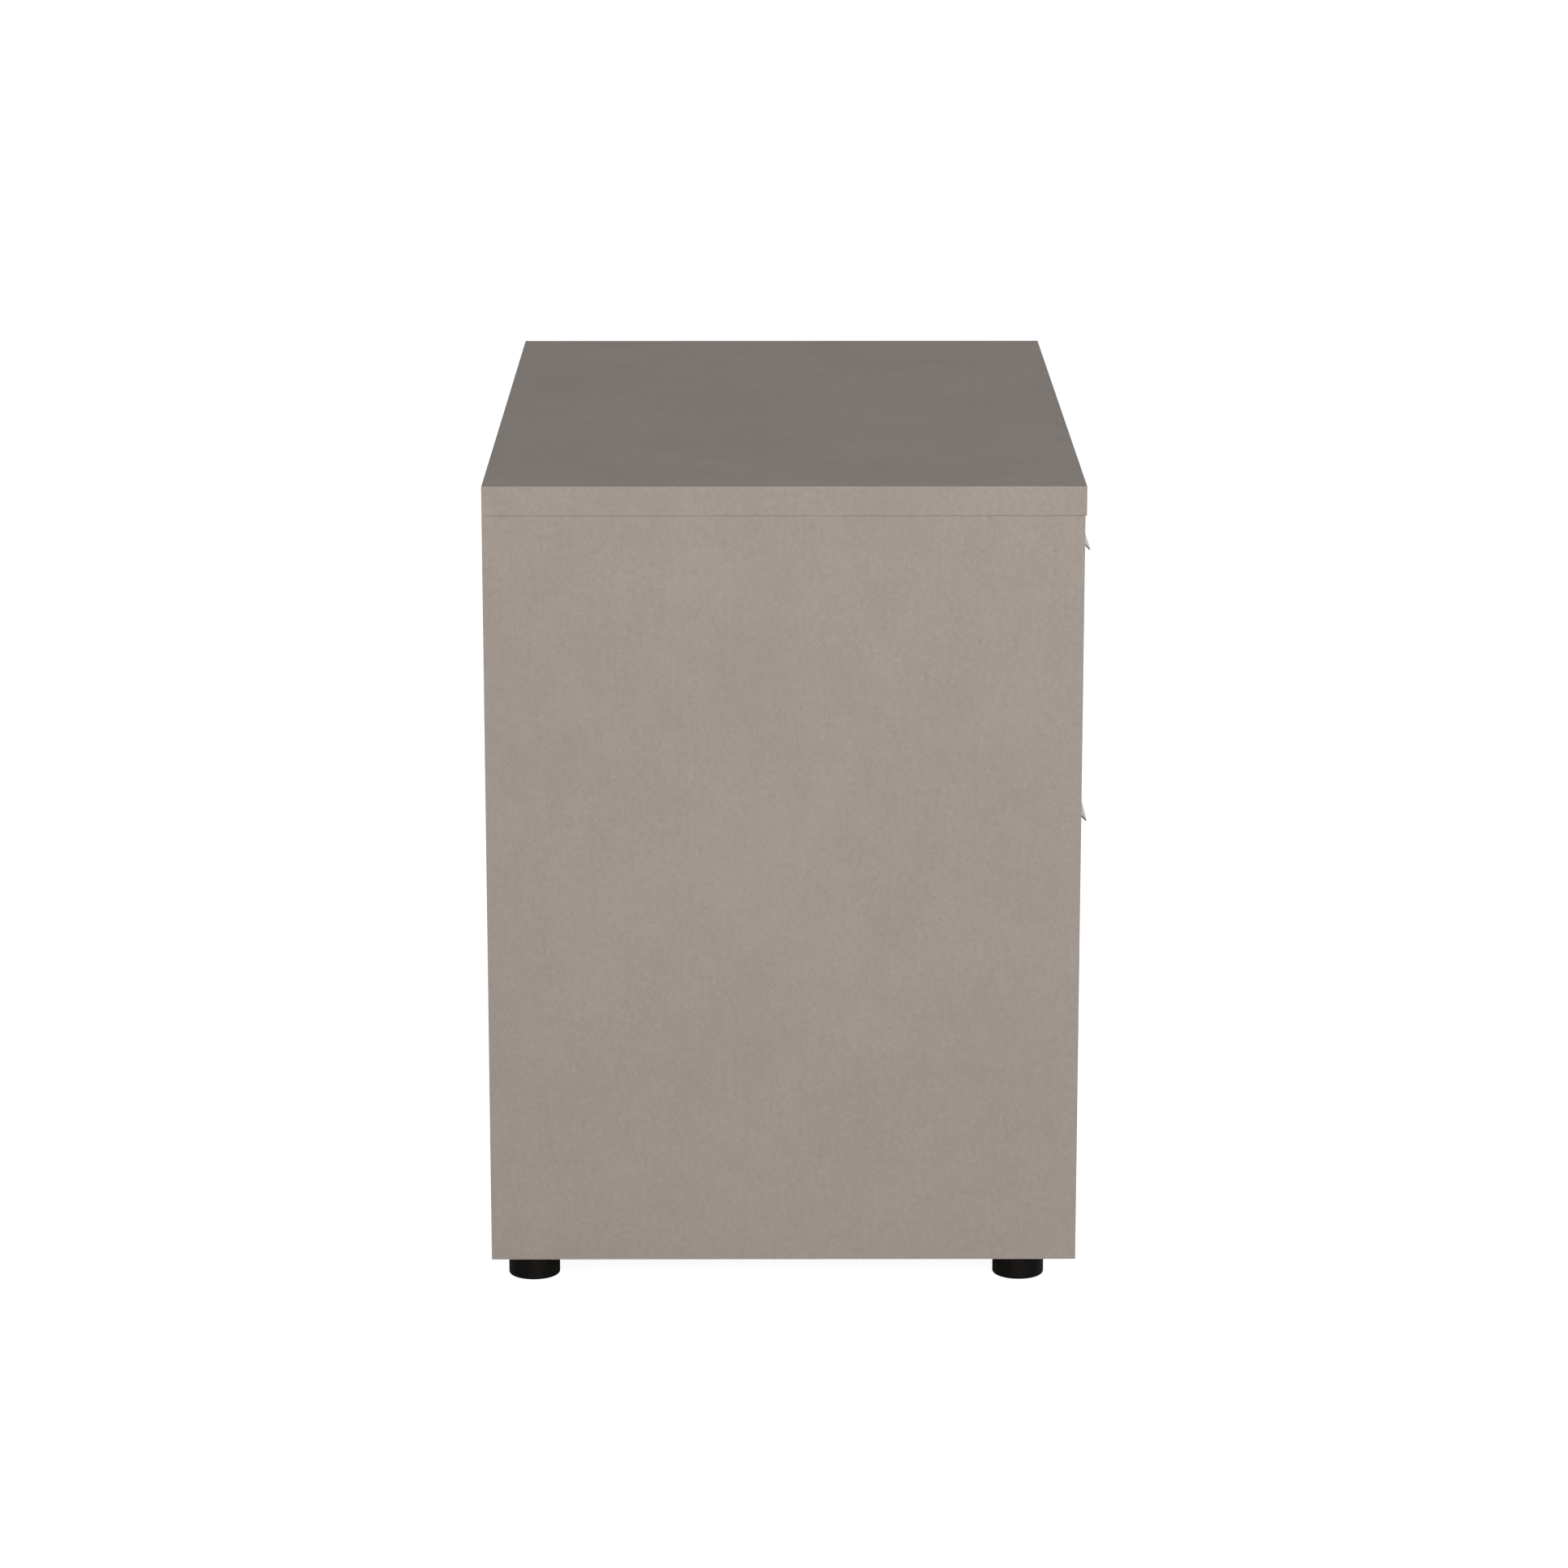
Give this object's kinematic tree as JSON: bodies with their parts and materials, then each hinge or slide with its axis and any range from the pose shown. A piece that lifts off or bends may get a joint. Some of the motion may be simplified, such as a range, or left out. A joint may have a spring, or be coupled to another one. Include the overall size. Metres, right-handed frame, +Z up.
{
  "type": "filing cabinet",
  "caption": "Low office filing cabinet: concrete-look board carcass on round feet, shallow drawer over a deep hanging-file drawer, both on telescopic runners, with sloping metal lip handles.",
  "frame": {"origin": "on the floor, under the middle of the cabinet's overall width and depth with the handles", "axes": "+X to the right of someone facing the drawers, +Y to the back, +Z up; the drawers open along -Y"},
  "size_m": [0.8, 0.5235, 0.695],
  "materials": {
    "concrete_board": "matte",
    "edge_band": "matte",
    "back_board": "matte",
    "beech": "matte",
    "black_plastic": "satin",
    "brushed_steel": "satin",
    "drawer_steel": "satin",
    "runner_steel": "satin",
    "zinc_steel": "satin",
    "zinc_casting": "matte"
  },
  "bodies": {
    "carcass": {"top_panel": "concrete_board", "top_edge_bands": "edge_band", "side_panel_right": "concrete_board", "side_panel_left": "concrete_board", "carcass_edge_bands": "edge_band", "bottom_panel": "concrete_board", "back_panel": "back_board", "back_panel_screws": "zinc_steel", "cam_discs": "zinc_casting", "cam_bolts": "zinc_steel", "dowels": "beech", "foot_inserts": "zinc_steel", "runner_screws": "zinc_steel", "upper_runner_cabinet_member_right": "runner_steel", "upper_runner_cabinet_member_left": "runner_steel", "lower_runner_cabinet_member_right": "runner_steel", "lower_runner_cabinet_member_left": "runner_steel"},
    "upper_drawer": {"upper_front": "concrete_board", "upper_front_edge_bands": "edge_band", "upper_handle": "brushed_steel", "upper_handle_screws": "zinc_steel", "upper_box_base": "drawer_steel", "upper_box_back": "drawer_steel", "upper_front_brackets": "drawer_steel", "upper_bracket_screws": "zinc_steel", "upper_box_side_right": "drawer_steel", "upper_box_side_left": "drawer_steel", "upper_runner_drawer_member_right": "runner_steel", "upper_runner_drawer_member_left": "runner_steel"},
    "upper_runner_middles": {"upper_runner_middle_member_right": "runner_steel", "upper_runner_middle_member_left": "runner_steel"},
    "upper_outer_cages": {"upper_outer_ball_cages": "runner_steel"},
    "upper_inner_cages": {"upper_inner_ball_cages": "runner_steel"},
    "lower_drawer": {"lower_front": "concrete_board", "lower_front_edge_bands": "edge_band", "lower_handle": "brushed_steel", "lower_handle_screws": "zinc_steel", "lower_box_base": "drawer_steel", "lower_box_back": "drawer_steel", "lower_front_brackets": "drawer_steel", "lower_bracket_screws": "zinc_steel", "lower_box_side_right": "drawer_steel", "lower_box_side_left": "drawer_steel", "lower_runner_drawer_member_right": "runner_steel", "lower_runner_drawer_member_left": "runner_steel", "file_rails": "drawer_steel", "file_rail_hooks": "drawer_steel"},
    "lower_runner_middles": {"lower_runner_middle_member_right": "runner_steel", "lower_runner_middle_member_left": "runner_steel"},
    "lower_outer_cages": {"lower_outer_ball_cages": "runner_steel"},
    "lower_inner_cages": {"lower_inner_ball_cages": "runner_steel"},
    "front_left_spindle": {"foot_spindle_front_left": "zinc_steel"},
    "front_left_foot": {"foot_front_left": "black_plastic"},
    "front_right_spindle": {"foot_spindle_front_right": "zinc_steel"},
    "front_right_foot": {"foot_front_right": "black_plastic"},
    "back_left_spindle": {"foot_spindle_back_left": "zinc_steel"},
    "back_left_foot": {"foot_back_left": "black_plastic"},
    "back_right_spindle": {"foot_spindle_back_right": "zinc_steel"},
    "back_right_foot": {"foot_back_right": "black_plastic"}
  },
  "joints": [
    {"name": "upper_drawer_slide", "type": "slide", "parent": "carcass", "child": "upper_drawer", "axis": [0, -1, 0], "range_m": [0, 0.44]},
    {"name": "upper_runner_middles_slide", "type": "slide", "parent": "carcass", "child": "upper_runner_middles", "axis": [0, -1, 0], "range_m": [0, 0.22]},
    {"name": "upper_outer_cages_slide", "type": "slide", "parent": "carcass", "child": "upper_outer_cages", "axis": [0, -1, 0], "range_m": [0, 0.11]},
    {"name": "upper_inner_cages_slide", "type": "slide", "parent": "carcass", "child": "upper_inner_cages", "axis": [0, -1, 0], "range_m": [0, 0.33]},
    {"name": "lower_drawer_slide", "type": "slide", "parent": "carcass", "child": "lower_drawer", "axis": [0, -1, 0], "range_m": [0, 0.44]},
    {"name": "lower_runner_middles_slide", "type": "slide", "parent": "carcass", "child": "lower_runner_middles", "axis": [0, -1, 0], "range_m": [0, 0.22]},
    {"name": "lower_outer_cages_slide", "type": "slide", "parent": "carcass", "child": "lower_outer_cages", "axis": [0, -1, 0], "range_m": [0, 0.11]},
    {"name": "lower_inner_cages_slide", "type": "slide", "parent": "carcass", "child": "lower_inner_cages", "axis": [0, -1, 0], "range_m": [0, 0.33]},
    {"name": "front_left_spindle_drop", "type": "slide", "parent": "carcass", "child": "front_left_spindle", "axis": [0, 0, -1], "range_m": [0, 0.01]},
    {"name": "front_left_foot_turn", "type": "hinge", "parent": "front_left_spindle", "child": "front_left_foot", "pos_m": [-0.365, -0.19075, 0.0115], "axis": [0, 0, 1], "range_deg": [0, 2880]},
    {"name": "front_right_spindle_drop", "type": "slide", "parent": "carcass", "child": "front_right_spindle", "axis": [0, 0, -1], "range_m": [0, 0.01]},
    {"name": "front_right_foot_turn", "type": "hinge", "parent": "front_right_spindle", "child": "front_right_foot", "pos_m": [0.365, -0.19075, 0.0115], "axis": [0, 0, 1], "range_deg": [0, 2880]},
    {"name": "back_left_spindle_drop", "type": "slide", "parent": "carcass", "child": "back_left_spindle", "axis": [0, 0, -1], "range_m": [0, 0.01]},
    {"name": "back_left_foot_turn", "type": "hinge", "parent": "back_left_spindle", "child": "back_left_foot", "pos_m": [-0.365, 0.22675, 0.0115], "axis": [0, 0, 1], "range_deg": [0, 2880]},
    {"name": "back_right_spindle_drop", "type": "slide", "parent": "carcass", "child": "back_right_spindle", "axis": [0, 0, -1], "range_m": [0, 0.01]},
    {"name": "back_right_foot_turn", "type": "hinge", "parent": "back_right_spindle", "child": "back_right_foot", "pos_m": [0.365, 0.22675, 0.0115], "axis": [0, 0, 1], "range_deg": [0, 2880]}
  ],
  "couplings": [
    {"joint": "upper_runner_middles_slide", "follows": "upper_drawer_slide", "ratio": 0.5},
    {"joint": "upper_outer_cages_slide", "follows": "upper_drawer_slide", "ratio": 0.25},
    {"joint": "upper_inner_cages_slide", "follows": "upper_drawer_slide", "ratio": 0.75},
    {"joint": "lower_runner_middles_slide", "follows": "lower_drawer_slide", "ratio": 0.5},
    {"joint": "lower_outer_cages_slide", "follows": "lower_drawer_slide", "ratio": 0.25},
    {"joint": "lower_inner_cages_slide", "follows": "lower_drawer_slide", "ratio": 0.75},
    {"joint": "front_left_spindle_drop", "follows": "front_left_foot_turn", "m_per_rad": 0.00019894},
    {"joint": "front_right_spindle_drop", "follows": "front_right_foot_turn", "m_per_rad": 0.00019894},
    {"joint": "back_left_spindle_drop", "follows": "back_left_foot_turn", "m_per_rad": 0.00019894},
    {"joint": "back_right_spindle_drop", "follows": "back_right_foot_turn", "m_per_rad": 0.00019894}
  ]
}
